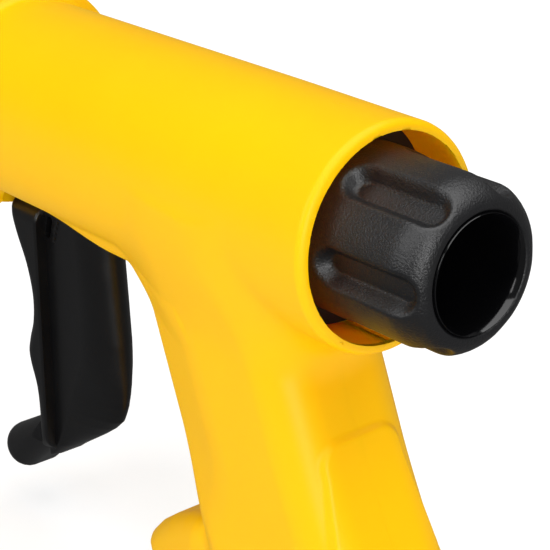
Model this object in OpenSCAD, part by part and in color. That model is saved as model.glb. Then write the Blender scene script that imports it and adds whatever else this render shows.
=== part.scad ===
// Air blast gun: a two-shell pistol-grip body with a swivelling hose collar in its open rear,
// a trigger valve inside, and a nozzle clamped in the front head.
// The origin is on the barrel axis, in the plane of the rear rim. +X points to the nozzle,
// +Y to the left side of a person holding the gun, and +Z up.

/* [Barrel and head] */
// Outer radius of the barrel
barrel_r = 22; // [21.8:0.1:22.4]
// Wall thickness of the shells
wall = 2.2; // [2:0.1:2.4]
// Distance from the rear rim to the rear wall of the front head
head_x = 117; // [116:0.5:117.5]
// Outer radius of the front head
head_r = 25.5; // [25:0.1:26.5]
// Length of the front head
head_len = 30; // [30:0.1:30.3]

/* [Grip] */
// Height of the grip's base below the barrel axis
grip_base_z = -104; // [-108:1:-102]
// Half the depth of the grip, from front to back
grip_half_depth = 23; // [21.5:0.1:23.5]
// Half the width of the grip
grip_half_width = 15.5; // [15:0.1:16.5]
// Backward lean of the grip, as run over rise
grip_lean = 0.41; // [0.38:0.01:0.43]
// Corner radius of the grip's cross-section
grip_corner = 9; // [7:0.5:10]

/* [Hose collar] */
// Outer radius of the collar
collar_r = 16.3; // [16:0.1:16.8]
// How far the collar stands out behind the rim
collar_out = 22.2; // [21.9:0.1:23]
// Bore radius of the hose socket
socket_r = 10; // [9.6:0.1:10.2]
// Radius of the cutter that makes each finger flute
flute_r = 4.5; // [4:0.1:5]
// Number of finger flutes round the collar
flutes = 6; // [4:1:7]

/* [Valve and trigger] */
// Radius of the valve stem
stem_r = 2; // [1.8:0.1:2.2]
// Height of the stem's axis
stem_z = -5; // [-5.2:0.1:-4.9]
// Height of the trigger's pivot
pivot_z = 4; // [3.9:0.1:4.1]
// Radius of the trigger pin
pin_r = 1.5; // [1.4:0.1:1.6]
// Half the width of the trigger's web
web_half = 5.5; // [5:0.1:5.6]
// Half the width of the trigger's finger face
face_half = 8; // [7.5:0.1:8.1]

/* [Nozzle] */
// Radius of the blast bore
blast_r = 4; // [3:0.1:4.5]
// Distance from the rear rim to the nozzle's tip
nozzle_tip_x = 190; // [182:1:196]

/* [Hidden] */
$fn = 64;
fit = 0.05;                          // running clearance of a shaft in its hole
eps = 0.01;

inner_r = barrel_r - wall;
head_end_x = head_x + head_len;
head_inner_r = head_r - wall;
head_front_wall = 2.6;
head_round = 4;
grip_wall = 2.4;
grip_mid_x = 29.8;                   // the grip's centre at grip_mid_z
grip_mid_z = -45;
grip_front_pinch = 2.5;              // how much narrower the grip's front corners are
grip_top_z = -11;

liner_r = 11.1;
neck_r = 10.8;
spigot_r = 7.5;
spigot_bore_r = 4.5;
socket_end_x = 12;
lip_recess = 0.3;
flute_depth = 2.2;
flute_turn = -3.5;                   // how far the flutes are turned from the gun's sides
liner_front_x = 30;
seal_xs = [20, 26];                  // O-ring places along the spigot
plate_x = 12.05;
plate_len = 2.4;
plate_r = 20.5;
flange_x = 15;
flange_len = 2.5;
flange_r = 15.5;
washer_x = 17.85;
washer_len = 1.2;
rib_x = 19.2;

valve_x = 38;                        // rear and front faces of the valve body
valve_front_x = 72;
valve_r = 15;
key_x = 52;                          // the collar that the shells' ribs grip
key_len = 3;
key_r = 17;
chamber_r = 6.5;
chamber_x = 44.5;
seat_x = 58;
poppet_x = 53.5;
port_x = 62;
tube_z = 12.5;
tube_r = 3.5;
tube_bore_r = 2.6;
tube_x = 64.5;
tube_end_x = 125.5;
tube_seal_xs = [68, 123.5];

pivot_x = 104;
neck_back_x = 98;                    // the face that pushes the stem
pin_half = 15.5;

holder_x = 120.9;
holder_step_x = 130;
holder_end_x = 144.3;
snout_r = 12;
snout_end_x = 152;
nozzle_flange_end_x = 155;
boss_seat_y = 6;                     // depth of each screw head's seat
// each screw: [x, z, boss length, radius that trims the boss, 0 for none]
screws = [
    [29, 15.2, 13, barrel_r - 1], [29, -15.2, 13, barrel_r - 1],
    [136, 20.2, 14, head_r - 1], [136, -20.2, 14, head_r - 1],
    [34, -42, 14, 0], [14, -90, 14, 0], [50, -91, 8, 0]
];

function arc(cx, cy, r, a0, a1, n) =
    [for (i = [0 : n]) [cx + r * cos(a0 + (a1 - a0) * i / n), cy + r * sin(a0 + (a1 - a0) * i / n)]];
function grip_x(z) = grip_mid_x + (z - grip_mid_z) * grip_lean;

// A rod along the X axis at height z
module rod(x0, x1, r, z = 0) {
    translate([x0, 0, z]) rotate([0, 90, 0]) cylinder(h = x1 - x0, r = r);
}

// A profile of [radius, x] points turned about the X axis at height z
module turned(points, z = 0) {
    translate([0, 0, z]) rotate([0, 90, 0]) rotate_extrude() polygon(points);
}

module ring(x0, x1, r_in, r_out, z = 0) {
    difference() {
        rod(x0, x1, r_out, z);
        rod(x0 - 1, x1 + 1, r_in, z);
    }
}

module o_ring(x, r, thick, z = 0) {
    translate([x, 0, z]) rotate([0, 90, 0])
        rotate_extrude() translate([r, 0]) circle(r = thick, $fn = 24);
}

// A pin or hole across the gun, from y0 to y1
module cross(x, z, y0, y1, r) {
    translate([x, y1, z]) rotate([90, 0, 0]) cylinder(h = y1 - y0, r = r, $fn = 32);
}

// A side profile of [x, z] points, given a width
module slab(points, half) {
    rotate([90, 0, 0]) linear_extrude(height = 2 * half, center = true) polygon(points);
}

// ---- body shells ----
module grip_form(inset, z0, z1) {
    r = grip_corner - inset;
    // how far forward and to the side each corner is
    reach = grip_half_depth - grip_corner;
    out = grip_half_width - grip_corner;
    corners = [[reach, out - grip_front_pinch], [4, out], [-reach, out]];
    hull() for (z = [z0, z1], side = [-1, 1], c = corners)
        translate([grip_x(z) + c[0], side * c[1], z]) cylinder(h = 0.5, r = r, $fn = 32);
}

// The finger stop that sweeps forward from the foot of the grip
module toe_form() {
    hull() {
        cross(62.8, -89.5, -8, 8, 4.8);
        translate([20, -11, grip_base_z]) cube([22, 22, 28]);
        translate([42, -9, grip_base_z]) cube([6, 18, 4]);
    }
}

// The saddle under the barrel that holds the trigger's slot
module saddle_form() {
    hull() {
        translate([56, -10.5, -21.5]) cube([24, 21, 9]);
        translate([56, -8, -23.3]) cube([24, 16, 2]);
        translate([88, -8, -20.3]) cube([3, 16, 4]);
    }
}

module head_profile() {
    turned(concat(
        [[0, head_x - 12], [barrel_r, head_x - 12], [barrel_r, head_x], [head_r - 1.5, head_x]],
        arc(head_r - 1.5, head_x + 1.5, 1.5, -60, 0, 3),
        arc(head_r - head_round, head_end_x - head_round, head_round, 0, 90, 6),
        [[0, head_end_x]]));
}

module outer_form() {
    rod(0, head_x - 10, barrel_r);
    head_profile();
    grip_form(0, grip_base_z, grip_top_z);
    toe_form();
    saddle_form();
}

module inner_form() {
    rod(-1, head_x + 4, inner_r);
    rod(head_x + 2, head_end_x - head_front_wall, head_inner_r);
    rod(head_end_x - 5, head_end_x + 1, snout_r + 0.3);
    ring(plate_x - 0.05, plate_x + plate_len + 0.05, inner_r - 1, plate_r + 0.1);
    grip_form(grip_wall, grip_base_z + grip_wall, grip_top_z + 2);
}

module trigger_slot() {
    translate([77, -web_half - 0.7, -30]) cube([42.8, 2 * web_half + 1.4, 24]);
    translate([93.5, -face_half - 0.6, -30]) cube([26.3, 2 * face_half + 1.2, 10.5]);
}

module ribs() {
    ring(rib_x, rib_x + 2, 12, inner_r + 0.5);
    ring(key_x - 2.2, key_x - 0.2, valve_r + 0.1, inner_r + 0.5);
    ring(key_x + key_len + 0.2, key_x + key_len + 2.2, valve_r + 0.1, inner_r + 0.5);
    ring(holder_x - 2.4, holder_x - 0.2, 16.5, head_inner_r + 0.5);
    ring(holder_step_x + 0.2, holder_step_x + 2.2, 14.3, head_inner_r + 0.5);
}

module trimmed(limit) {
    if (limit > 0) intersection() { children(); rod(0, head_end_x - 1, limit); }
    else children();
}

// side is 1 for the left shell and -1 for the right
module bosses(side) {
    for (s = screws) trimmed(s[3])
        cross(s[0], s[1], side > 0 ? 0 : -s[2], side > 0 ? s[2] : 0, side > 0 ? 3.2 : 4.2);
    trimmed(barrel_r - 1)
        cross(pivot_x, pivot_z, side > 0 ? 5.2 : -inner_r - 1, side > 0 ? inner_r + 1 : -5.2, 3.6);
}

module shell(side) {
    difference() {
        union() {
            intersection() {
                difference() {
                    union() {
                        difference() { outer_form(); inner_form(); }
                        ribs();
                    }
                    trigger_slot();
                }
                translate([-20, side > 0 ? 0 : -50, -150]) cube([240, 50, 220]);
            }
            bosses(side);
        }
        for (s = screws) {
            if (side > 0) cross(s[0], s[1], -1, s[2] - 3.5, 1.5);
            else {
                cross(s[0], s[1], -20, 1, 1.7);
                cross(s[0], s[1], -30, -boss_seat_y, 3.1);
            }
        }
        pin_deep = side * (pin_half + 0.1);
        cross(pivot_x, pivot_z, min(0, pin_deep), max(0, pin_deep), pin_r + 0.02);
    }
}

module shell_left() { color("#fdd030") shell(1); }
module shell_right() { color("#fdd030") shell(-1); }

module shell_screws() {
    color("#55585c")
        for (s = screws) difference() {
            union() {
                cross(s[0], s[1], -boss_seat_y - eps, min(s[2] - 4, 8), 1.45);
                cross(s[0], s[1], -boss_seat_y - 2, -boss_seat_y - eps, 2.9);
            }
            translate([s[0], -boss_seat_y - 0.8, s[1]])
                rotate([90, 0, 0]) cylinder(h = 3, r = 1.3, $fn = 6);
        }
}

// ---- hose collar ----
module retainer_plate() { color("#202020") ring(plate_x, plate_x + plate_len, liner_r + 0.35, plate_r); }

module swivel_collar() {
    color("#3a3a3a")
        difference() {
            turned(concat(
                [[liner_r + 0.05, 11.5], [collar_r - 0.6, 11.5], [collar_r, 10.9]],
                [for (a = [0 : 10 : 90])
                    [liner_r + 0.7 + (collar_r - liner_r - 0.7) * cos(a), -collar_out + 6.4 - 6.4 * sin(a)]],
                [[liner_r + 0.05, -collar_out + 0.6]]));
            for (i = [0 : flutes - 1]) rotate([(i + 0.5) * 360 / flutes + flute_turn, 0, 0]) {
                rod(-15, -2, flute_r, collar_r + flute_r - flute_depth);
                for (x = [-15, -2])
                    translate([x, 0, collar_r + flute_r - flute_depth]) sphere(r = flute_r);
            }
        }
}

module socket_liner() {
    back = -collar_out + lip_recess;
    color("#101010")
        turned([
            [socket_r, back + 2.5], [socket_r + 0.65, back + 0.2], [socket_r + 0.8, back],
            [liner_r - 0.15, back], [liner_r, back + 0.2],
            [liner_r, flange_x], [flange_r, flange_x], [flange_r, flange_x + flange_len],
            [neck_r, flange_x + flange_len], [neck_r, liner_front_x], [spigot_r + 2 * fit, liner_front_x],
            [spigot_r + 2 * fit, socket_end_x], [socket_r, socket_end_x]]);
}

module thrust_washer() {
    color("#e8e4d8") ring(washer_x, washer_x + washer_len, neck_r + 0.4, flange_r - 0.1);
}

// ---- inlet ----
module inlet_spigot() {
    color("#c9a24a")
        difference() {
            union() {
                rod(13, 44.4, spigot_r);
                translate([33.5, 0, 0]) rotate([0, 90, 0]) cylinder(h = 4.4, r = 10, $fn = 6);
            }
            rod(12, 45, spigot_bore_r);
            for (x = seal_xs) ring(x - 0.85, x + 0.85, 6, spigot_r + 1);
        }
}

module spigot_seals() { color("#151515") for (x = seal_xs) o_ring(x, 6.79, 0.78); }

module inlet_screen() {
    color("#b8bcc0")
        difference() {
            rod(14, 14.8, spigot_bore_r - 0.02);
            for (i = [0 : 5]) rotate([i * 60, 0, 0]) rod(13, 16, 0.9, 2.7);
            rod(13, 16, 0.9);
        }
}

// ---- valve ----
module valve_body() {
    color("#b9bcc0")
        difference() {
            union() {
                rod(valve_x, valve_front_x, valve_r);
                rod(key_x, key_x + key_len, key_r);
                rod(seat_x, valve_front_x, tube_r + 1.7, tube_z);
            }
            rod(valve_x - 1, chamber_x, spigot_r + fit);
            rod(chamber_x - 0.1, valve_front_x + 1, chamber_r, stem_z);
            rod(port_x - 2.6, tube_x, tube_bore_r, tube_z);
            rod(tube_x - 0.1, valve_front_x + 1, tube_r + fit, tube_z);
            translate([port_x, 0, stem_z + 3]) cylinder(h = tube_z - stem_z - 3, r = 2.6, $fn = 32);
        }
}

module valve_cartridge() {
    color("#c9a24a")
        difference() {
            rod(seat_x, valve_front_x, chamber_r - fit, stem_z);
            rod(seat_x - 1, port_x + 4, 3.6, stem_z);
            rod(port_x, valve_front_x + 1, stem_r + fit, stem_z);
            rod(valve_front_x - 2, valve_front_x + 1, 3.3, stem_z);
            translate([port_x, 0, stem_z]) cylinder(h = 10, r = 2.4, $fn = 32);
        }
}

module valve_poppet() {
    color("#d8dadc")
        union() {
            rod(poppet_x, seat_x - 1.1, 5.6, stem_z);
            rod(poppet_x - 3, poppet_x + 1, 2.2, stem_z);
            rod(poppet_x, neck_back_x - 0.15 - stem_r, stem_r, stem_z);
            translate([neck_back_x - 0.15 - stem_r, 0, stem_z]) sphere(r = stem_r);
        }
}

module poppet_seal() { color("#101010") ring(seat_x - 1.1, seat_x - 0.02, stem_r, 5.2, stem_z); }

// A closed-end compression spring, swept round its helix
module valve_spring() {
    coil_r = 4.3;
    wire_r = 0.45;
    turns = 6;
    steps = 20;
    sides = 8;
    length = poppet_x - chamber_x - 2 * wire_r - 0.1;
    count = turns * steps;
    points = [for (i = [0 : count], j = [0 : sides - 1])
        let (a = 360 * i / steps, b = 360 * j / sides, r = coil_r + wire_r * cos(b))
        [chamber_x + wire_r + 0.05 + length * i / count + wire_r * sin(b), r * cos(a), stem_z + r * sin(a)]];
    faces = concat(
        [for (i = [0 : count - 1], j = [0 : sides - 1])
            let (k = (j + 1) % sides)
            [i * sides + j, (i + 1) * sides + j, (i + 1) * sides + k, i * sides + k]],
        [[for (j = [0 : sides - 1]) j]],
        [[for (j = [sides - 1 : -1 : 0]) count * sides + j]]);
    color("#d8dadc") polyhedron(points, faces);
}

module stem_gland() {
    color("#c9a24a")
        difference() {
            translate([valve_front_x + 0.02, 0, stem_z])
                rotate([0, 90, 0]) cylinder(h = 3.6, r = 5.2, $fn = 6);
            rod(valve_front_x - 1, valve_front_x + 5, stem_r + fit, stem_z);
        }
}

module stem_seal() { color("#101010") o_ring(valve_front_x - 1, 2.68, 0.6, stem_z); }

// ---- trigger ----
module trigger() {
    // finger face, from its top corner down over the two finger hollows to the hook
    face_front = [[105.3, -21.8], [116.2, -21.8], [117.4, -23.4], [117.5, -26.6], [115.8, -31.2],
        [113.9, -34.6], [112.5, -37.6], [111.4, -40.7], [110.8, -44.1], [110.7, -47.1], [111.1, -50],
        [111.8, -52.3], [112.7, -54.6], [113.4, -56.6], [113.65, -58.6], [113.5, -60.4], [113, -62.3],
        [112, -64.9], [111.1, -67.5], [110.6, -70.4], [110.5, -73.5], [110.6, -78]];
    face_back = [[109.5, -84], [105.3, -82.4]];
    web = [[neck_back_x, -22], [84.5, -22], [83.2, -36], [82.4, -52], [82.6, -62], [83.6, -66.5],
        [85.8, -70.5], [89.5, -74], [104, -83.5], [107, -85.5], [109, -24.4], [109, -22]];
    neck = [[neck_back_x, -22], [neck_back_x, 1], [100.5, 7], [107.5, 7], [110, 1], [109, -26]];
    hook = concat(
        [[108.2, -83.2], [110.3, -75.7]],
        arc(122.5, -88.9, 5.2, 62, -118, 8));
    color("#202020")
        difference() {
            union() {
                slab(concat(face_front, face_back), face_half);
                slab(web, web_half);
                slab(neck, 4.5);
                slab(hook, 6.4);
            }
            cross(pivot_x, pivot_z, -10, 10, pin_r + fit);
        }
}

module trigger_pin() { color("#b8bcc0") cross(pivot_x, pivot_z, -pin_half, pin_half, pin_r); }

// ---- outlet ----
module outlet_tube() {
    color("#d8dadc")
        difference() {
            ring(tube_x, tube_end_x, tube_bore_r, tube_r, tube_z);
            for (x = tube_seal_xs) ring(x - 0.5, x + 0.5, tube_r - 0.5, tube_r + 1, tube_z);
        }
}

module tube_seals() { color("#101010") for (x = tube_seal_xs) o_ring(x, tube_r - 0.26, 0.3, tube_z); }

module nozzle_holder() {
    color("#2b2b2b")
        difference() {
            turned([[0, holder_x], [17.2, holder_x], [17.2, holder_step_x], [14, holder_step_x],
                [14, holder_end_x], [snout_r, holder_end_x], [snout_r, snout_end_x], [0, snout_end_x]]);
            rod(124, 141, 8);
            rod(140, snout_end_x + 1, 6.55);
            rod(holder_x - 1, tube_end_x + 0.1, tube_r + fit, tube_z);
            translate([127, 0, 0]) cylinder(h = tube_z + 2, r = 2.6, $fn = 32);
            rod(tube_end_x - 1, 129, tube_bore_r, tube_z);
            ring(snout_end_x - 1.2, snout_end_x + 1, 8, 10.4);
        }
}

module nozzle_seal() { color("#151515") o_ring(snout_end_x - 0.62, 9.2, 0.6); }

module nozzle() {
    color("#242424")
        difference() {
            turned([[0, 144], [6.5, 144], [6.5, snout_end_x], [11.6, snout_end_x],
                [11.6, nozzle_flange_end_x], [8.6, nozzle_flange_end_x], [8.6, 166], [6.4, 186],
                [6.4, nozzle_tip_x - 0.6], [5.8, nozzle_tip_x], [0, nozzle_tip_x]]);
            rod(143, nozzle_tip_x + 1, blast_r);
        }
}

module nozzle_ring() {
    ring_x = head_end_x + 0.5;
    ring_end = 159;
    ring_r = 16.5;
    color("#2e2e2e")
        difference() {
            turned([[snout_r + fit, ring_x], [ring_r - 0.6, ring_x], [ring_r, ring_x + 0.6],
                [ring_r, ring_end - 3], [ring_r - 0.8, ring_end - 0.8], [ring_r - 3, ring_end],
                [8.8, ring_end], [8.8, nozzle_flange_end_x + fit],
                [snout_r + fit, nozzle_flange_end_x + fit]]);
            for (i = [0 : flutes - 1]) rotate([i * 360 / flutes, 0, 0])
                rod(ring_x + 2.5, ring_end + 1, 3.6, ring_r + 2.2);
        }
}

shell_left();
shell_right();
shell_screws();
retainer_plate();
swivel_collar();
socket_liner();
thrust_washer();
inlet_spigot();
spigot_seals();
inlet_screen();
valve_body();
valve_cartridge();
valve_poppet();
poppet_seal();
valve_spring();
stem_gland();
stem_seal();
trigger();
trigger_pin();
outlet_tube();
tube_seals();
nozzle_holder();
nozzle_seal();
nozzle();
nozzle_ring();
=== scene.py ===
import math
import bpy
import bmesh
import numpy as np
from mathutils import Matrix, Vector


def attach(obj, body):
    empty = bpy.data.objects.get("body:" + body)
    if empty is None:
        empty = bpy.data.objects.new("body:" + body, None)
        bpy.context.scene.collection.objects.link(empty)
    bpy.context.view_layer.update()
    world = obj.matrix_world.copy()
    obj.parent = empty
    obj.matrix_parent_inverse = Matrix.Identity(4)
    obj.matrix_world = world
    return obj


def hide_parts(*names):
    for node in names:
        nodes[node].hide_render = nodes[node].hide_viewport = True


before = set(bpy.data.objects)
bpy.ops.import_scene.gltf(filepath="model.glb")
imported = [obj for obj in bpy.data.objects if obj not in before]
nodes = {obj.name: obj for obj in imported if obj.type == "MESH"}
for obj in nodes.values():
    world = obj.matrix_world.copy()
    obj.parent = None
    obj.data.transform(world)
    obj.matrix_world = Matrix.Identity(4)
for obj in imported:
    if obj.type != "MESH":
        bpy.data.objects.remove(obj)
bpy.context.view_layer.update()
mm = 0.001
print("frame loaded:", len(nodes), "nodes")


# ---------- small helpers ----------
def linear(hexColour):
    # sRGB hex to the linear colour that a shader wants
    parts = [int(hexColour[i:i + 2], 16) / 255 for i in (1, 3, 5)]
    return [*(c / 12.92 if c <= 0.04045 else ((c + 0.055) / 1.055) ** 2.4 for c in parts), 1.0]


def addNode(tree, kind, inputs=None, **settings):
    # inputs: socket name or number -> a value, or the output socket that feeds it
    node = tree.nodes.new(kind)
    for key, value in settings.items():
        setattr(node, key, value)
    for key, value in (inputs or {}).items():
        if isinstance(value, bpy.types.NodeSocket):
            tree.links.new(value, node.inputs[key])
        else:
            node.inputs[key].default_value = value
    return node


def newObject(name, mesh):
    obj = bpy.data.objects.new(name, mesh)
    bpy.context.scene.collection.objects.link(obj)
    return obj


def meshFrom(name, points, faces, material):
    # points in millimetres
    mesh = bpy.data.meshes.new(name)
    mesh.from_pydata((np.asarray(points) * mm).tolist(), [], [list(map(int, f)) for f in faces])
    mesh.validate()
    mesh.shade_smooth()
    mesh.materials.append(material)
    return newObject(name, mesh)


# ---------- materials ----------
def newMaterial(name, colour, roughness, **extra):
    material = bpy.data.materials.new(name)
    material.use_nodes = True
    tree = material.node_tree
    shader = tree.nodes["Principled BSDF"]
    shader.inputs["Base Color"].default_value = linear(colour)
    shader.inputs["Roughness"].default_value = roughness
    for key, value in extra.items():
        shader.inputs[key.replace("_", " ")].default_value = value
    return material, tree, shader


def mouldedPlastic(name, colour, shade, roughness, patchMm, grainMm, grainDepth, spread=0.06, **extra):
    # a moulded skin: colour drifts a little over large patches, gloss varies, and a fine grain catches the light
    material, tree, shader = newMaterial(name, colour, roughness, **extra)
    place = addNode(tree, "ShaderNodeTexCoord").outputs["Object"]
    patch = addNode(tree, "ShaderNodeTexNoise", {"Vector": place, "Scale": 1 / (patchMm * mm), "Detail": 3.0})
    share = addNode(tree, "ShaderNodeMapRange", {"Value": patch.outputs["Fac"], "From Min": 0.35, "From Max": 0.7})
    tone = addNode(tree, "ShaderNodeMix", {
        "Factor": share.outputs["Result"], 6: linear(colour), 7: linear(shade)}, data_type="RGBA")
    tree.links.new(tone.outputs[2], shader.inputs["Base Color"])
    wear = addNode(tree, "ShaderNodeTexNoise", {
        "Vector": place, "Scale": 2.5 / (patchMm * mm), "Detail": 4.0, "Roughness": 0.6})
    dull = addNode(tree, "ShaderNodeMapRange", {
        "Value": wear.outputs["Fac"], "From Min": 0.3, "From Max": 0.7,
        "To Min": roughness - spread, "To Max": roughness + spread})
    tree.links.new(dull.outputs["Result"], shader.inputs["Roughness"])
    grain = addNode(tree, "ShaderNodeTexNoise", {
        "Vector": place, "Scale": 1 / (grainMm * mm), "Detail": 2.0, "Roughness": 0.6})
    bump = addNode(tree, "ShaderNodeBump", {
        "Height": grain.outputs["Fac"], "Strength": 1.0, "Distance": grainDepth * mm})
    tree.links.new(bump.outputs["Normal"], shader.inputs["Normal"])
    return material


def turnedMetal(name, colour, roughness, grooveMm):
    # lathe-turned: fine rings round the X axis, which smear its highlights lengthways
    material, tree, shader = newMaterial(name, colour, roughness, Metallic=1.0)
    place = addNode(tree, "ShaderNodeTexCoord").outputs["Object"]
    squashed = addNode(tree, "ShaderNodeMapping", {"Vector": place, "Scale": (1, 0.05, 0.05)})
    rings = addNode(tree, "ShaderNodeTexNoise", {
        "Vector": squashed.outputs["Vector"], "Scale": 1 / (grooveMm * mm), "Detail": 2.0})
    bump = addNode(tree, "ShaderNodeBump", {
        "Height": rings.outputs["Fac"], "Strength": 0.6, "Distance": 0.02 * mm})
    tree.links.new(bump.outputs["Normal"], shader.inputs["Normal"])
    dull = addNode(tree, "ShaderNodeMapRange", {
        "Value": rings.outputs["Fac"], "From Min": 0.3, "From Max": 0.7,
        "To Min": roughness - 0.06, "To Max": roughness + 0.08})
    tree.links.new(dull.outputs["Result"], shader.inputs["Roughness"])
    return material


finish = {
    # yellow ABS, injection moulded in a polished tool: half gloss, a very faint orange peel
    "shell": mouldedPlastic("mouldedYellowAbs", "#f1b800", "#efb400", 0.4, 45, 1.4, 0.006, 0.03,
                            Specular_IOR_Level=0.16, Subsurface_Weight=0.08,
                            Subsurface_Radius=(1.0, 0.3, 0.03), Subsurface_Scale=0.004),
    # the same plastic inside the shells, off an unpolished core, with a much stronger subsurface: its base colour is
    # also painted a deeper orange, a painted glow standing in for light that soaks through and bounces between the
    # walls
    "shellInsidePaintedGlow": mouldedPlastic("mouldedYellowAbsInsidePaintedGlow", "#f4ac00", "#efa600", 0.55, 45, 1.4, 0.006, 0.03,
                                  Specular_IOR_Level=0.1, Subsurface_Weight=0.75,
                                  Subsurface_Radius=(1.0, 0.6, 0.01), Subsurface_Scale=0.012),
    # glass-filled nylon from a spark-eroded tool: dull charcoal with a grain of about a third of a millimetre
    "collar": mouldedPlastic("erodedBlackNylon", "#101012", "#0e0e0f", 0.4, 14, 0.42, 0.13, 0.05,
                             Specular_IOR_Level=0.62),
    # satin nylon: smoother and blacker, softer highlights
    "trigger": mouldedPlastic("satinBlackNylon", "#09090a", "#0b0b0c", 0.34, 20, 0.6, 0.006, 0.04,
                              Specular_IOR_Level=0.42),
    # polished acetal: a wet-looking black
    "liner": mouldedPlastic("polishedBlackAcetal", "#050506", "#070708", 0.1, 10, 2.0, 0.002, 0.03),
    "plate": mouldedPlastic("plainBlackNylon", "#0d0d0e", "#111112", 0.5, 12, 0.8, 0.01, 0.05),
    # natural acetal: milky and slightly waxy
    "washer": mouldedPlastic("naturalAcetal", "#e6e1d2", "#ded8c6", 0.4, 10, 1.0, 0.005, 0.04),
    # moulded nitrile: nearly black, a dry sheen
    "seal": mouldedPlastic("mouldedNitrile", "#161617", "#1c1c1d", 0.6, 3, 0.3, 0.006, 0.06),
    # turned brass: warm, ringed by the tool
    "brass": turnedMetal("turnedBrass", "#c79a4b", 0.26, 0.25),
    # tumbled zinc die casting: grey and a little mottled
    "casting": mouldedPlastic("tumbledZinc", "#a9abad", "#9a9c9f", 0.42, 8, 0.7, 0.02, 0.07, Metallic=1.0),
    # ground stainless steel
    "steel": turnedMetal("groundStainless", "#b9babb", 0.24, 0.2),
    # zinc-plated steel: bluish grey, slightly clouded
    "plated": mouldedPlastic("zincPlatedSteel", "#9fa4a8", "#8d9297", 0.32, 2.5, 0.4, 0.01, 0.06, Metallic=1.0),
    # drawn aluminium tube
    "tube": turnedMetal("drawnAluminium", "#d3d4d6", 0.3, 0.4),
}
print("materials made:", len(finish))


# ---------- distance fields, in millimetres ----------
def joined(a, b, radius):
    # union of two fields with a round fillet in the corner between them
    u, v = np.maximum(radius - a, 0), np.maximum(radius - b, 0)
    return np.maximum(radius, np.minimum(a, b)) - np.hypot(u, v)


def cut(a, b, radius):
    # what is in both fields, with its edge rounded over
    return -joined(-a, -b, radius)


def roundedRect(u, v, halfU, halfV, radius):
    qu, qv = np.abs(u) - (halfU - radius), np.abs(v) - (halfV - radius)
    return np.hypot(np.maximum(qu, 0), np.maximum(qv, 0)) + np.minimum(np.maximum(qu, qv), 0) - radius


def outline(u, v, corners):
    # signed distance to a closed outline of [u, v] corners, given anticlockwise
    best = np.full(u.shape, 1e9)
    sign = np.ones(u.shape)
    for (ax, ay), (bx, by) in zip(corners, corners[1:] + corners[:1]):
        ex, ey = bx - ax, by - ay
        wx, wy = u - ax, v - ay
        t = np.clip((wx * ex + wy * ey) / (ex * ex + ey * ey), 0, 1)
        best = np.minimum(best, (wx - t * ex) ** 2 + (wy - t * ey) ** 2)
        above, under = v >= ay, v < by
        left = ex * wy > ey * wx
        flip = (above & under & left) | (~above & ~under & ~left)
        sign = np.where(flip, -sign, sign)
    return sign * np.sqrt(best)


def smoothStep(value, low, high):
    t = np.clip((value - low) / (high - low), 0, 1)
    return t * t * (3 - 2 * t)


def ticks(start, *runs):
    # grid places from start on: each run is (how far to go, spacing)
    places = [start]
    for stop, spacing in runs:
        count = max(1, round((stop - places[-1]) / spacing))
        places += list(np.linspace(places[-1], stop, count + 1)[1:])
    return np.array(places)


def surfaceOf(field, axes):
    # dual contouring: each grid cell that the surface crosses gets one point, placed where the tangent planes
    # of its crossings meet, and each crossed grid edge gets one face
    values = field(*np.meshgrid(*axes, indexing="ij"))
    inside = values < 0
    cellShape = [n - 1 for n in values.shape]
    places, quads = [], []
    for axis in range(3):
        unit = np.eye(3, dtype=int)
        lower = inside[tuple(slice(0, -1) if d == axis else slice(None) for d in range(3))]
        upper = inside[tuple(slice(1, None) if d == axis else slice(None) for d in range(3))]
        edge = np.argwhere(lower != upper)
        first, second = values[tuple(edge.T)], values[tuple((edge + unit[axis]).T)]
        share = first / (first - second)
        place = np.stack([axes[d][edge[:, d]] for d in range(3)], 1)
        place[:, axis] += share * (axes[axis][edge[:, axis] + 1] - axes[axis][edge[:, axis]])
        places.append(place)
        b, c = unit[(axis + 1) % 3], unit[(axis + 2) % 3]
        ring = [np.ravel_multi_index(tuple((edge - i * b - j * c).T), cellShape)
                for i, j in ((1, 1), (0, 1), (0, 0), (1, 0))]
        quad = np.stack(ring, 1)
        quads.append(np.where((first < 0)[:, None], quad, quad[:, ::-1]))
    places, quads = np.concatenate(places), np.concatenate(quads)
    value, slope = slopeAt(field, places)
    size = np.maximum(np.linalg.norm(slope, axis=1), 1e-6)
    normal = slope / size[:, None]
    reach = (normal * places).sum(1) - value / size
    cell, inverse = np.unique(quads, return_inverse=True)
    inverse = inverse.reshape(quads.shape)
    count = np.bincount(inverse.ravel(), minlength=len(cell))

    def gather(amount):
        return np.bincount(inverse.ravel(), np.repeat(amount, 4), len(cell))

    middle = np.stack([gather(places[:, i]) for i in range(3)], 1) / count[:, None]
    square = np.stack([np.stack([gather(normal[:, i] * normal[:, j]) for j in range(3)], 1) for i in range(3)], 1)
    side = np.stack([gather(normal[:, i] * reach) for i in range(3)], 1)
    spread, along = np.linalg.eigh(square)
    turned = np.einsum("nij,ni->nj", along, side - np.einsum("nij,nj->ni", square, middle))
    turned = np.where(spread > 0.06 * spread[:, -1:], turned / np.maximum(spread, 1e-9), 0)
    which = np.unravel_index(cell, cellShape)
    lowest = np.stack([axes[d][which[d]] for d in range(3)], 1)
    highest = np.stack([axes[d][which[d] + 1] for d in range(3)], 1)
    points = np.clip(middle + np.einsum("nij,nj->ni", along, turned), lowest, highest)
    return points, inverse


def slopeAt(field, points):
    probe = 0.03
    slope = [(field(*(points + probe * e).T) - field(*(points - probe * e).T)) / (2 * probe) for e in np.eye(3)]
    return field(*points.T), np.stack(slope, 1)


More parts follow.
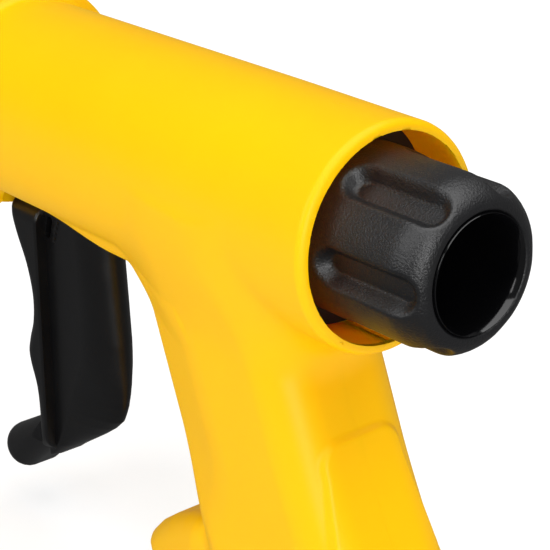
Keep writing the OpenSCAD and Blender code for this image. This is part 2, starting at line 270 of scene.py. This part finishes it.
# ---------- the two body shells ----------
body = dict(
    barrelRadius=22, wall=2.2, rimRound=1.6, rimLean=0.03, taper=0.2,
    headStart=117, headEnd=147, headRadius=25.5, headRound=4, headBackRound=1.6, headFillet=2.5, frontWall=2.6,
    gripMidX=29.8, gripMidZ=-45, gripLean=0.41, gripHalfDepth=23, gripHalfWidth=15.5, gripCorner=9,
    gripBase=-104, gripFillet=11, gripWall=2.4, creaseForward=4.3, creaseSlope=0.28, creaseRound=0.9,
    padHeight=0.8, padEdge=1.3, padHalf=10.6, padFlare=0.17, padTop=-41, swell=2.4, saddleBottom=-23.2, saddleHalfWidth=10.5,
    slotStart=77, slotEnd=119.8, slotHalfWidth=6.2, faceSlotHalfWidth=8.6, snoutHole=12.3,
    bossRadius=4.2, screwWell=3.1, screwSeat=6, seamGap=0.005, step=0.64)


def gripPlane(x, z):
    # distance along the gun from the leaning middle of the grip, measured square to the lean
    return (x - body["gripMidX"] - (z - body["gripMidZ"]) * body["gripLean"]) / math.hypot(1, body["gripLean"])


def gripField(x, y, z, inset=0.0):
    across = gripPlane(x, z)
    across = across + body["swell"] * smoothStep(-z, 46, 82) * smoothStep(-across, 2, 18)
    half = body["gripHalfDepth"] / math.hypot(1, body["gripLean"])
    d = roundedRect(across, y, half, body["gripHalfWidth"], body["gripCorner"])
    crease = body["creaseForward"] + 0.029 * np.maximum(-50 - z, 0) ** 2
    slant = (np.abs(y) - body["gripHalfWidth"] + body["creaseSlope"] * (across - crease)) \
        / math.hypot(1, body["creaseSlope"])
    return cut(d, slant, body["creaseRound"]) + inset


toeProfile = [[20, -104], [48, -104], [60, -97.5], [65.2, -91.2], [66.4, -89.0], [65.9, -87.5], [62.6, -84.2],
              [56.6, -79.7], [49.5, -75.7], [42, -72.5], [30, -80]]


def toeField(x, y, z):
    side = outline(x, z, toeProfile) - 1.5
    width = 12.5 - 0.2 * np.clip(x - 45, 0, 30)
    return cut(side, np.abs(y) - width, 4.5)


def padMask(x, y, z):
    # 1 on the raised palm pad, 0 off it: an arch-topped panel wrapped round the back of the grip
    across = gripPlane(x, z)
    half = body["padHalf"] + body["padFlare"] * np.maximum(-48 - z, 0)
    edge = np.maximum(cut(np.abs(y) - half, z - body["padTop"], 5.5), across)
    return smoothStep(-edge, 0, body["padEdge"])


def outerField(x, y, z):
    b = body
    radial = np.hypot(y, z)
    barrel = radial - b["barrelRadius"] + b["taper"] * smoothStep(-x, -40, 0)
    barrel = cut(cut(barrel, b["rimLean"] * z - x, b["rimRound"]), x - b["headStart"] - 8, 0.5)
    head = cut(cut(radial - b["headRadius"], b["headStart"] - x, b["headBackRound"]),
               x - b["headEnd"], b["headRound"])
    grip = gripField(x, y, z) - b["padHeight"] * padMask(x, y, z)
    grip = joined(grip, toeField(x, y, z), 2.5)
    grip = np.maximum(cut(grip, b["gripBase"] - z, 1.5), z + 8)
    rise = 0.28 * (x - 90) - 0.96 * (z + 21.0)
    saddle = cut(cut(b["saddleBottom"] - z, rise, 3), np.abs(y) - b["saddleHalfWidth"], 3)
    saddle = np.maximum(np.maximum(saddle, 50 - x), z + 8)
    d = joined(barrel, head, b["headFillet"])
    d = joined(d, saddle, 2)
    return joined(d, grip, b["gripFillet"] - 4 * smoothStep(x, 46, 60))


def innerField(x, y, z):
    b = body
    radial = np.hypot(y, z)
    bore = np.maximum(radial - b["barrelRadius"] + b["wall"], x - b["headStart"] - 4)
    headHollow = np.maximum(np.maximum(radial - b["headRadius"] + b["wall"], b["headStart"] + 2 - x),
                            x - b["headEnd"] + b["frontWall"])
    front = np.maximum(radial - b["snoutHole"], 130 - x)
    grip = np.maximum(np.maximum(gripField(x, y, z, b["gripWall"]), b["gripBase"] + b["gripWall"] - z), z + 9)
    return np.minimum(np.minimum(bore, headHollow), np.minimum(front, grip))


def slotField(x, y, z):
    b = body
    ends = np.maximum(b["slotStart"] - x, x - b["slotEnd"])
    web = np.maximum(np.maximum(np.abs(y) - b["slotHalfWidth"], ends), z + 6)
    face = np.maximum(np.maximum(np.abs(y) - b["faceSlotHalfWidth"], np.maximum(93.5 - x, ends)), z + 19.5)
    return np.minimum(web, face)


def partsOf(name):
    # the boxes of a CAD node's separate solids, in millimetres
    work = bmesh.new()
    work.from_mesh(nodes[name].data)
    bmesh.ops.remove_doubles(work, verts=work.verts, dist=1e-6)
    seen, boxes = set(), []
    for start in work.verts:
        if start in seen:
            continue
        stack, found = [start], []
        seen.add(start)
        while stack:
            v = stack.pop()
            found.append(np.array(v.co) / mm)
            for e in v.link_edges:
                other = e.other_vert(v)
                if other not in seen:
                    seen.add(other)
                    stack.append(other)
        boxes.append((np.min(found, 0), np.max(found, 0)))
    work.free()
    return boxes


screwBoxes = partsOf("shell_screws")
screwSpots = [((low + high) / 2)[[0, 2]] for low, high in screwBoxes]


def shellField(side):
    def field(x, y, z):
        outer = outerField(x, y, z)
        d = np.maximum(outer, -innerField(x, y, z))
        d = np.maximum(d, -slotField(x, y, z))
        if side < 0:
            for sx, sz in screwSpots:
                reach = np.hypot(x - sx, z - sz)
                d = np.minimum(d, np.maximum(reach - body["bossRadius"], outer + 0.6))
                d = cut(d, -np.maximum(reach - body["screwWell"], y + body["screwSeat"]), 0.6)
        return np.maximum(d, body["seamGap"] - side * y)
    return field


def shell(name, side):
    b = body
    fine, coarse = b["step"], b["step"] * 1.4
    along = ticks(-21.3, (-1.2, fine * 1.2), (2.6, 0.38), (12, fine), (76, fine * 1.1), (108, coarse),
                  (121, fine), (b["headEnd"] - 5, coarse), (b["headEnd"] + 1, 0.5))
    out = ticks(-0.7, (0.7, 0.35), (27, fine))
    upward = ticks(b["gripBase"] - 0.9, (b["gripBase"] + 2, 0.6), (-60, fine * 1.25), (-16, fine), (16, fine * 1.1),
                   (27, fine))
    points, faces = surfaceOf(shellField(side), [along, out if side > 0 else -out[::-1], upward])
    obj = meshFrom(name, points, faces, finish["shell"])
    # the faces inside the barrel get the second copy of the yellow, whose deeper orange base colour is painted glow
    obj.data.materials.append(finish["shellInsidePaintedGlow"])
    middle = np.array([f.center for f in obj.data.polygons]) / mm
    paintedGlowFaces = (np.hypot(middle[:, 1], middle[:, 2]) < b["barrelRadius"] - b["wall"] + 0.5) & (middle[:, 0] > 0.6)
    obj.data.polygons.foreach_set("material_index", paintedGlowFaces.astype(np.int32))
    return obj


# ---------- the trigger ----------
def arcPoints(cx, cz, radius, start, end, count):
    turns = np.radians(np.linspace(start, end, count))
    return [[cx + radius * math.cos(t), cz + radius * math.sin(t)] for t in turns]


def curveThrough(points, each):
    # a smooth curve through all the points
    p = np.array([points[0], *points, points[-1]], float)
    out = []
    for a, b, c, d in zip(p, p[1:], p[2:], p[3:]):
        for t in np.arange(each) / each:
            out.append(b + 0.5 * t * (c - a + t * (2 * a - 5 * b + 4 * c - d + t * (3 * b - a - 3 * c + d))))
    return [list(q) for q in out] + [list(p[-1])]


def stroke(u, v, start, end):
    # distance to the straight line between two points
    (ax, ay), (bx, by) = start, end
    t = np.clip(((u - ax) * (bx - ax) + (v - ay) * (by - ay)) / ((bx - ax) ** 2 + (by - ay) ** 2), 0, 1)
    return np.hypot(u - ax - t * (bx - ax), v - ay - t * (by - ay))


triggerRibs = [
    ([109.9, -27.9], [105.4, -24.0], 0.55, 0.6), ([107.9, -24.7], [106.4, -22.9], 0.45, 0.5),
    ([99.9, -23.6], [101.9, -29.0], 0.6, 0.35)]
triggerPocket = [[103.1, -24.7], [104.1, -28.1]]
lever = dict(
    webHalf=5.5, faceHalf=8, faceBack=105.3, hookHalf=7.4, neckHalf=4.5, faceRound=4.2, hookRound=5,
    hookFillet=1.2, webFillet=0.35, pinHole=1.55, pinX=104, pinZ=4, step=0.5)
# the finger side, from the hook up over the two finger hollows to the top corner
fingerSide = [[110.6, -78], [110.5, -73.5], [111.1, -67.5], [113.0, -62.3], [113.65, -58.6], [112.7, -54.6],
              [111.1, -50], [110.8, -44.1], [112.5, -37.6], [115.8, -31.2], [117.5, -26.6], [117.4, -23.4]]
faceProfile = [[100, -81.6], [110, -83.8]] + curveThrough(fingerSide, 5) + [[116.2, -21.8], [100, -21.8]]
# the web's flat sides end at coreSide, and its round back reaches coreBack, at these heights
coreHeight = [-90.5, -88, -84.6, -81.3, -75.5, -72.7, -70, -68, -65.8, -63, -60.5, -56, -50, -40, -30, -22]
coreSide = [116.9, 113, 107, 104.5, 102, 100.6, 99.4, 98.5, 97.4, 96.2, 95.1, 93.4, 93, 93, 93.6, 94]
coreBack = [115.5, 111.6, 106.2, 101.3, 92.7, 88.9, 86.0, 85.0, 84.1, 83.5, 83.3, 83.4, 83.6, 84.6, 85.5, 86.1]
neckProfile = [[98, -24], [110, -24], [110, 1], [107.5, 7], [100.5, 7], [98, 1]]
hookProfile = [[108.4, -82.8]] + arcPoints(122.5, -88.9, 5.5, -118, 62, 14) + [[110.3, -75.4]]


def triggerField(x, y, z):
    t = lever
    across = np.abs(y)
    side, back = np.interp(z, coreHeight, coreSide), np.interp(z, coreHeight, coreBack)
    bend = 2 - 0.85 * smoothStep(-z, 52, 66)
    gone = np.clip((side - x) / (side - back), 0, 4) ** bend
    core = ((y / t["webHalf"]) ** 2 + gone - 1) * t["webHalf"] / 2
    core = np.maximum(core, np.maximum(np.maximum(z + 22, -85.5 - z), x - 108))
    web = core
    for start, end, radius, proud in triggerRibs:
        line = stroke(x, z, start, end)
        web = np.minimum(web, np.maximum(line - radius, across - t["webHalf"] - proud))
    pocket = np.maximum(stroke(x, z, *triggerPocket) - 0.95, t["webHalf"] - 2 - across)
    web = np.maximum(web, -pocket)
    face = cut(outline(x, z, faceProfile), across - t["faceHalf"], t["faceRound"])
    face = cut(face, t["faceBack"] - x, 0.5)
    neck = cut(outline(x, z, neckProfile), across - t["neckHalf"], 0.5)
    hook = cut(outline(x, z, hookProfile), across - t["hookHalf"], t["hookRound"])
    d = joined(joined(face, hook, t["hookFillet"]), np.minimum(web, neck), t["webFillet"])
    return np.maximum(d, t["pinHole"] - np.hypot(x - t["pinX"], z - t["pinZ"]))


def trigger():
    t = lever["step"]
    points, faces = surfaceOf(triggerField, [ticks(79, (133, t)), ticks(-8.9, (8.9, t)), ticks(-97, (9, t))])
    return meshFrom("trigger_lever", points, faces, finish["trigger"])


# ---------- turned pieces, fluted by Geometry Nodes ----------
def lathe(name, profile, material, segments=96):
    # a closed [x, radius] outline spun round the X axis
    profile = np.array(profile, float)
    angles = np.linspace(0, 2 * math.pi, segments, endpoint=False)
    n = len(profile)
    points = np.concatenate([np.stack([profile[:, 0], profile[:, 1] * math.cos(a), profile[:, 1] * math.sin(a)], 1)
                             for a in angles])
    faces = []
    for i in range(segments):
        k = (i + 1) % segments
        faces += [[i * n + j, i * n + (j + 1) % n, k * n + (j + 1) % n, k * n + j] for j in range(n)]
    obj = meshFrom(name, points, faces, material)
    work = bmesh.new()
    work.from_mesh(obj.data)
    bmesh.ops.recalc_face_normals(work, faces=work.faces)
    work.to_mesh(obj.data)
    work.free()
    return obj


def filled(points, spacing):
    # the same outline with extra points, no further apart than spacing
    dense = []
    for (ax, ar), (bx, br) in zip(points, points[1:] + points[:1]):
        count = max(1, int(math.ceil(math.hypot(bx - ax, br - ar) / spacing)))
        dense += [[ax + (bx - ax) * i / count, ar + (br - ar) * i / count] for i in range(count)]
    return dense


def fluteTree():
    # presses round-ended flutes into a turned ring whose axis is X
    tree = bpy.data.node_groups.new("flutesRoundRing", "GeometryNodeTree")
    face = tree.interface
    face.new_socket("Ring", in_out="INPUT", socket_type="NodeSocketGeometry")
    names = ("Flutes", "Floor radius", "Half width", "Start", "End", "Edge", "Turn", "Outside from")
    for name in names:
        face.new_socket(name, in_out="INPUT", socket_type="NodeSocketFloat")
    face.new_socket("Material", in_out="INPUT", socket_type="NodeSocketMaterial")
    face.new_socket("Ring", in_out="OUTPUT", socket_type="NodeSocketGeometry")
    given = addNode(tree, "NodeGroupInput").outputs
    place = addNode(tree, "GeometryNodeInputPosition").outputs[0]
    part = addNode(tree, "ShaderNodeSeparateXYZ", {0: place}).outputs
    wires = {"x": part[0], "y": part[1], "z": part[2], **{name: given[name] for name in names}}

    def work(steps):
        # each step: the new value's name, the sum, then its inputs by name or as numbers
        for name, operation, *values in steps:
            feed = {i: wires.get(v, v) for i, v in enumerate(values)}
            wires[name] = addNode(tree, "ShaderNodeMath", feed, operation=operation).outputs[0]

    work([
        ("yy", "MULTIPLY", "y", "y"), ("zz", "MULTIPLY", "z", "z"), ("rr", "ADD", "yy", "zz"),
        ("radius", "SQRT", "rr"), ("bearing", "ARCTAN2", "z", "y"), ("angle", "SUBTRACT", "bearing", "Turn"),
        ("halfPitch", "DIVIDE", math.pi, "Flutes"), ("aside", "PINGPONG", "angle", "halfPitch"),
        ("arc", "MULTIPLY", "aside", "radius"),
        ("both", "ADD", "Start", "End"), ("middle", "MULTIPLY", "both", 0.5),
        ("length", "SUBTRACT", "End", "Start"), ("half", "MULTIPLY", "length", 0.5),
        ("straight", "SUBTRACT", "half", "Half width"), ("offset", "SUBTRACT", "x", "middle"),
        ("reach", "ABSOLUTE", "offset"), ("beyond", "SUBTRACT", "reach", "straight"),
        ("along", "MAXIMUM", "beyond", 0.0), ("alongSquare", "MULTIPLY", "along", "along"),
        ("arcSquare", "MULTIPLY", "arc", "arc"), ("awaySquare", "ADD", "alongSquare", "arcSquare"),
        ("far", "SQRT", "awaySquare"), ("away", "SUBTRACT", "far", "Half width"),
        ("edgeIn", "MULTIPLY", "Edge", -1.0), ("over", "SUBTRACT", "radius", "Floor radius"),
        ("depth", "MAXIMUM", "over", 0.0), ("outside", "GREATER_THAN", "radius", "Outside from")])
    wires["share"] = addNode(tree, "ShaderNodeMapRange", {
        "Value": wires["away"], "From Min": wires["edgeIn"], "From Max": 0.0, "To Min": 1.0, "To Max": 0.0},
        interpolation_type="SMOOTHSTEP").outputs[0]
    work([
        ("deep", "MULTIPLY", "share", "depth"), ("sink", "MULTIPLY", "deep", "outside"),
        ("ratio", "DIVIDE", "sink", "radius"), ("pull", "MULTIPLY", "ratio", -1.0),
        ("moveY", "MULTIPLY", "y", "pull"), ("moveZ", "MULTIPLY", "z", "pull")])
    inward = addNode(tree, "ShaderNodeCombineXYZ", {1: wires["moveY"], 2: wires["moveZ"]}).outputs[0]
    moved = addNode(tree, "GeometryNodeSetPosition", {"Geometry": given["Ring"], "Offset": inward}).outputs[0]
    real = addNode(tree, "GeometryNodeRealizeInstances", {0: moved}).outputs[0]
    skinned = addNode(tree, "GeometryNodeSetMaterial", {0: real, "Material": given["Material"]}).outputs[0]
    addNode(tree, "NodeGroupOutput", {0: skinned})
    return tree


def baked(obj, tree, settings):
    # runs the tree on the object with these inputs, and keeps the result as a plain mesh
    modifier = obj.modifiers.new("shape", "NODES")
    modifier.node_group = tree
    sockets = {s.name: s.identifier for s in tree.interface.items_tree if s.in_out == "INPUT"}
    for name, value in settings.items():
        modifier[sockets[name]] = value
    graph = bpy.context.evaluated_depsgraph_get()
    mesh = bpy.data.meshes.new_from_object(obj.evaluated_get(graph), preserve_all_data_layers=True, depsgraph=graph)
    obj.modifiers.clear()
    obj.data = mesh
    return obj


collarSize = dict(
    radius=16.3, bore=11.15, front=11.5, out=-21.8, shoulder=6.8, lip=0.5, flutes=6, fluteFloor=13.3,
    fluteHalfWidth=4.3, fluteStart=-21.7, fluteEnd=3.0, fluteEdge=2.3, fluteTurn=-3.3)


def collar(tree):
    c = collarSize
    reach = c["radius"] - c["bore"] - c["lip"]
    rear = [[c["out"] + c["shoulder"] * (1 - math.sin(math.radians(a))), c["bore"] + c["lip"] + reach * math.cos(math.radians(a))]
            for a in np.linspace(0, 90, 15)]
    outlinePoints = [[c["front"] - 0.6, c["radius"]]] + rear + [[c["out"] + 0.5, c["bore"]], [c["front"], c["bore"]],
                                                               [c["front"], c["radius"] - 0.6]]
    obj = lathe("collar_shell", filled(outlinePoints, 0.5), finish["collar"], 288)
    return baked(obj, tree, {
        "Flutes": float(c["flutes"]), "Floor radius": c["fluteFloor"] * mm, "Half width": c["fluteHalfWidth"] * mm,
        "Start": c["fluteStart"] * mm, "End": c["fluteEnd"] * mm, "Edge": c["fluteEdge"] * mm,
        "Turn": math.radians(c["fluteTurn"]),
        "Outside from": (c["bore"] + 1.2) * mm, "Material": finish["collar"]})


linerSize = dict(
    bore=10, outer=11.1, lip=-21.95, flare=3.0, flangeFrom=15, flangeTo=17.5, flangeRadius=15.5,
    neck=10.8, end=30, throat=7.6, floor=12)


def liner():
    n = linerSize
    flareTo = n["outer"] - 0.2
    mouth = [[n["lip"] + n["flare"] * (1 - math.sin(t)), flareTo - (flareTo - n["bore"]) * math.cos(t) ** 2]
             for t in np.radians(np.linspace(0, 90, 9))]
    profile = [[n["lip"] + 0.25, n["outer"]], [n["lip"], flareTo + 0.05]] + mouth[::-1] + [
        [n["floor"], n["bore"]], [n["floor"], n["throat"]], [n["end"], n["throat"]], [n["end"], n["neck"]],
        [n["flangeTo"], n["neck"]], [n["flangeTo"], n["flangeRadius"]],
        [n["flangeFrom"], n["flangeRadius"]], [n["flangeFrom"], n["outer"]]]
    return lathe("hose_liner", profile[::-1], finish["liner"], 192)


# ---------- put together ----------
flutedRing = fluteTree()
shellLeft = shell("body_shell_left", 1)
shellRight = shell("body_shell_right", -1)
print("shells made:", len(shellLeft.data.polygons), len(shellRight.data.polygons))
lever3d = trigger()
print("trigger made:", len(lever3d.data.polygons))
collarPiece = collar(flutedRing)
print("collar made:", len(collarPiece.data.polygons))
linerPiece = liner()
for piece in (shellLeft, shellRight, lever3d, linerPiece):
    piece.data.set_sharp_from_angle(angle=math.radians(38))

for piece, part, host, key in (
        (shellLeft, "shell_left", "gun", "shell"), (shellRight, "shell_right", "gun", "shell"),
        (lever3d, "trigger", "trigger", "trigger"), (collarPiece, "swivel_collar", "hose_swivel", "collar"),
        (linerPiece, "socket_liner", "hose_swivel", "liner")):
    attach(piece, host)
    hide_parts(part)

# the CAD nodes that stay get their finishes
nodeFinish = {
    "shell_screws": "plated", "retainer_plate": "plate", "thrust_washer": "washer",
    "inlet_spigot": "brass", "spigot_seals": "seal", "inlet_screen": "steel", "valve_body": "casting",
    "valve_cartridge": "brass", "valve_poppet": "steel", "poppet_seal": "seal", "valve_spring": "steel",
    "stem_gland": "brass", "stem_seal": "seal", "trigger_pin": "steel", "outlet_tube": "tube",
    "tube_seals": "seal", "nozzle_holder": "plate", "nozzle_seal": "seal", "nozzle": "trigger",
    "nozzle_ring": "collar"}
for name, key in nodeFinish.items():
    for slot in nodes[name].material_slots:
        slot.material = finish[key]

# ---------- camera, floor and light ----------
view = dict(place=(-214.14, 208.13, 116.37), aim=(0.70593, -0.59641, -0.38204), right=(-0.64618, -0.76318, -0.00259),
            up=(0.29002, -0.24869, 0.92414), lens=117.75)
camera = bpy.data.objects.new("camera", bpy.data.cameras.new("camera"))
bpy.context.scene.collection.objects.link(camera)
camera.data.lens = view["lens"]
camera.data.sensor_width = 36
camera.data.clip_start = 0.01
turn = Matrix([view["right"], view["up"], [-v for v in view["aim"]]]).transposed().to_4x4()
camera.matrix_world = Matrix.Translation(Vector(view["place"]) * mm) @ turn
bpy.context.scene.camera = camera

floorMesh = bpy.data.meshes.new("floor")
wide = 4.0
floorMesh.from_pydata([(-wide, -wide, -0.1045), (wide, -wide, -0.1045), (wide, wide, -0.1045), (-wide, wide, -0.1045)],
                      [], [(0, 1, 2, 3)])
floor = newObject("floor", floorMesh)
floorMesh.materials.append(newMaterial("paintedFloor", "#b8b8b8", 0.9, Emission_Color=(1, 1, 1, 1),
                                       Emission_Strength=0.58)[0])
# glossy black parts would mirror all of the pale floor, where a studio has dark surroundings
floor.visible_glossy = False

world = bpy.data.worlds.new("studio")
world.use_nodes = True
world.node_tree.nodes["Background"].inputs["Color"].default_value = (1, 1, 1, 1)
world.node_tree.nodes["Background"].inputs["Strength"].default_value = 0.15
bpy.context.scene.world = world


def softbox(name, place, target, width, height, power):
    light = bpy.data.lights.new(name, "AREA")
    light.shape = "RECTANGLE"
    light.size, light.size_y, light.energy = width, height, power
    obj = bpy.data.objects.new(name, light)
    bpy.context.scene.collection.objects.link(obj)
    obj.location = place
    obj.rotation_euler = (Vector(target) - Vector(place)).to_track_quat("-Z", "Y").to_euler()


softbox("overheadBox", (-0.35, 0.05, 1.75), (0.05, -0.05, -0.05), 2.6, 2.6, 55)
softbox("leftBox", (0.2, 1.15, 0.58), (0.0, 0, -0.02), 0.8, 0.6, 5.2)
softbox("rearBox", (-1.0, 0.65, 0.25), (0.03, 0, -0.05), 0.5, 0.5, 7)
bpy.context.scene.view_settings.view_transform = "Standard"
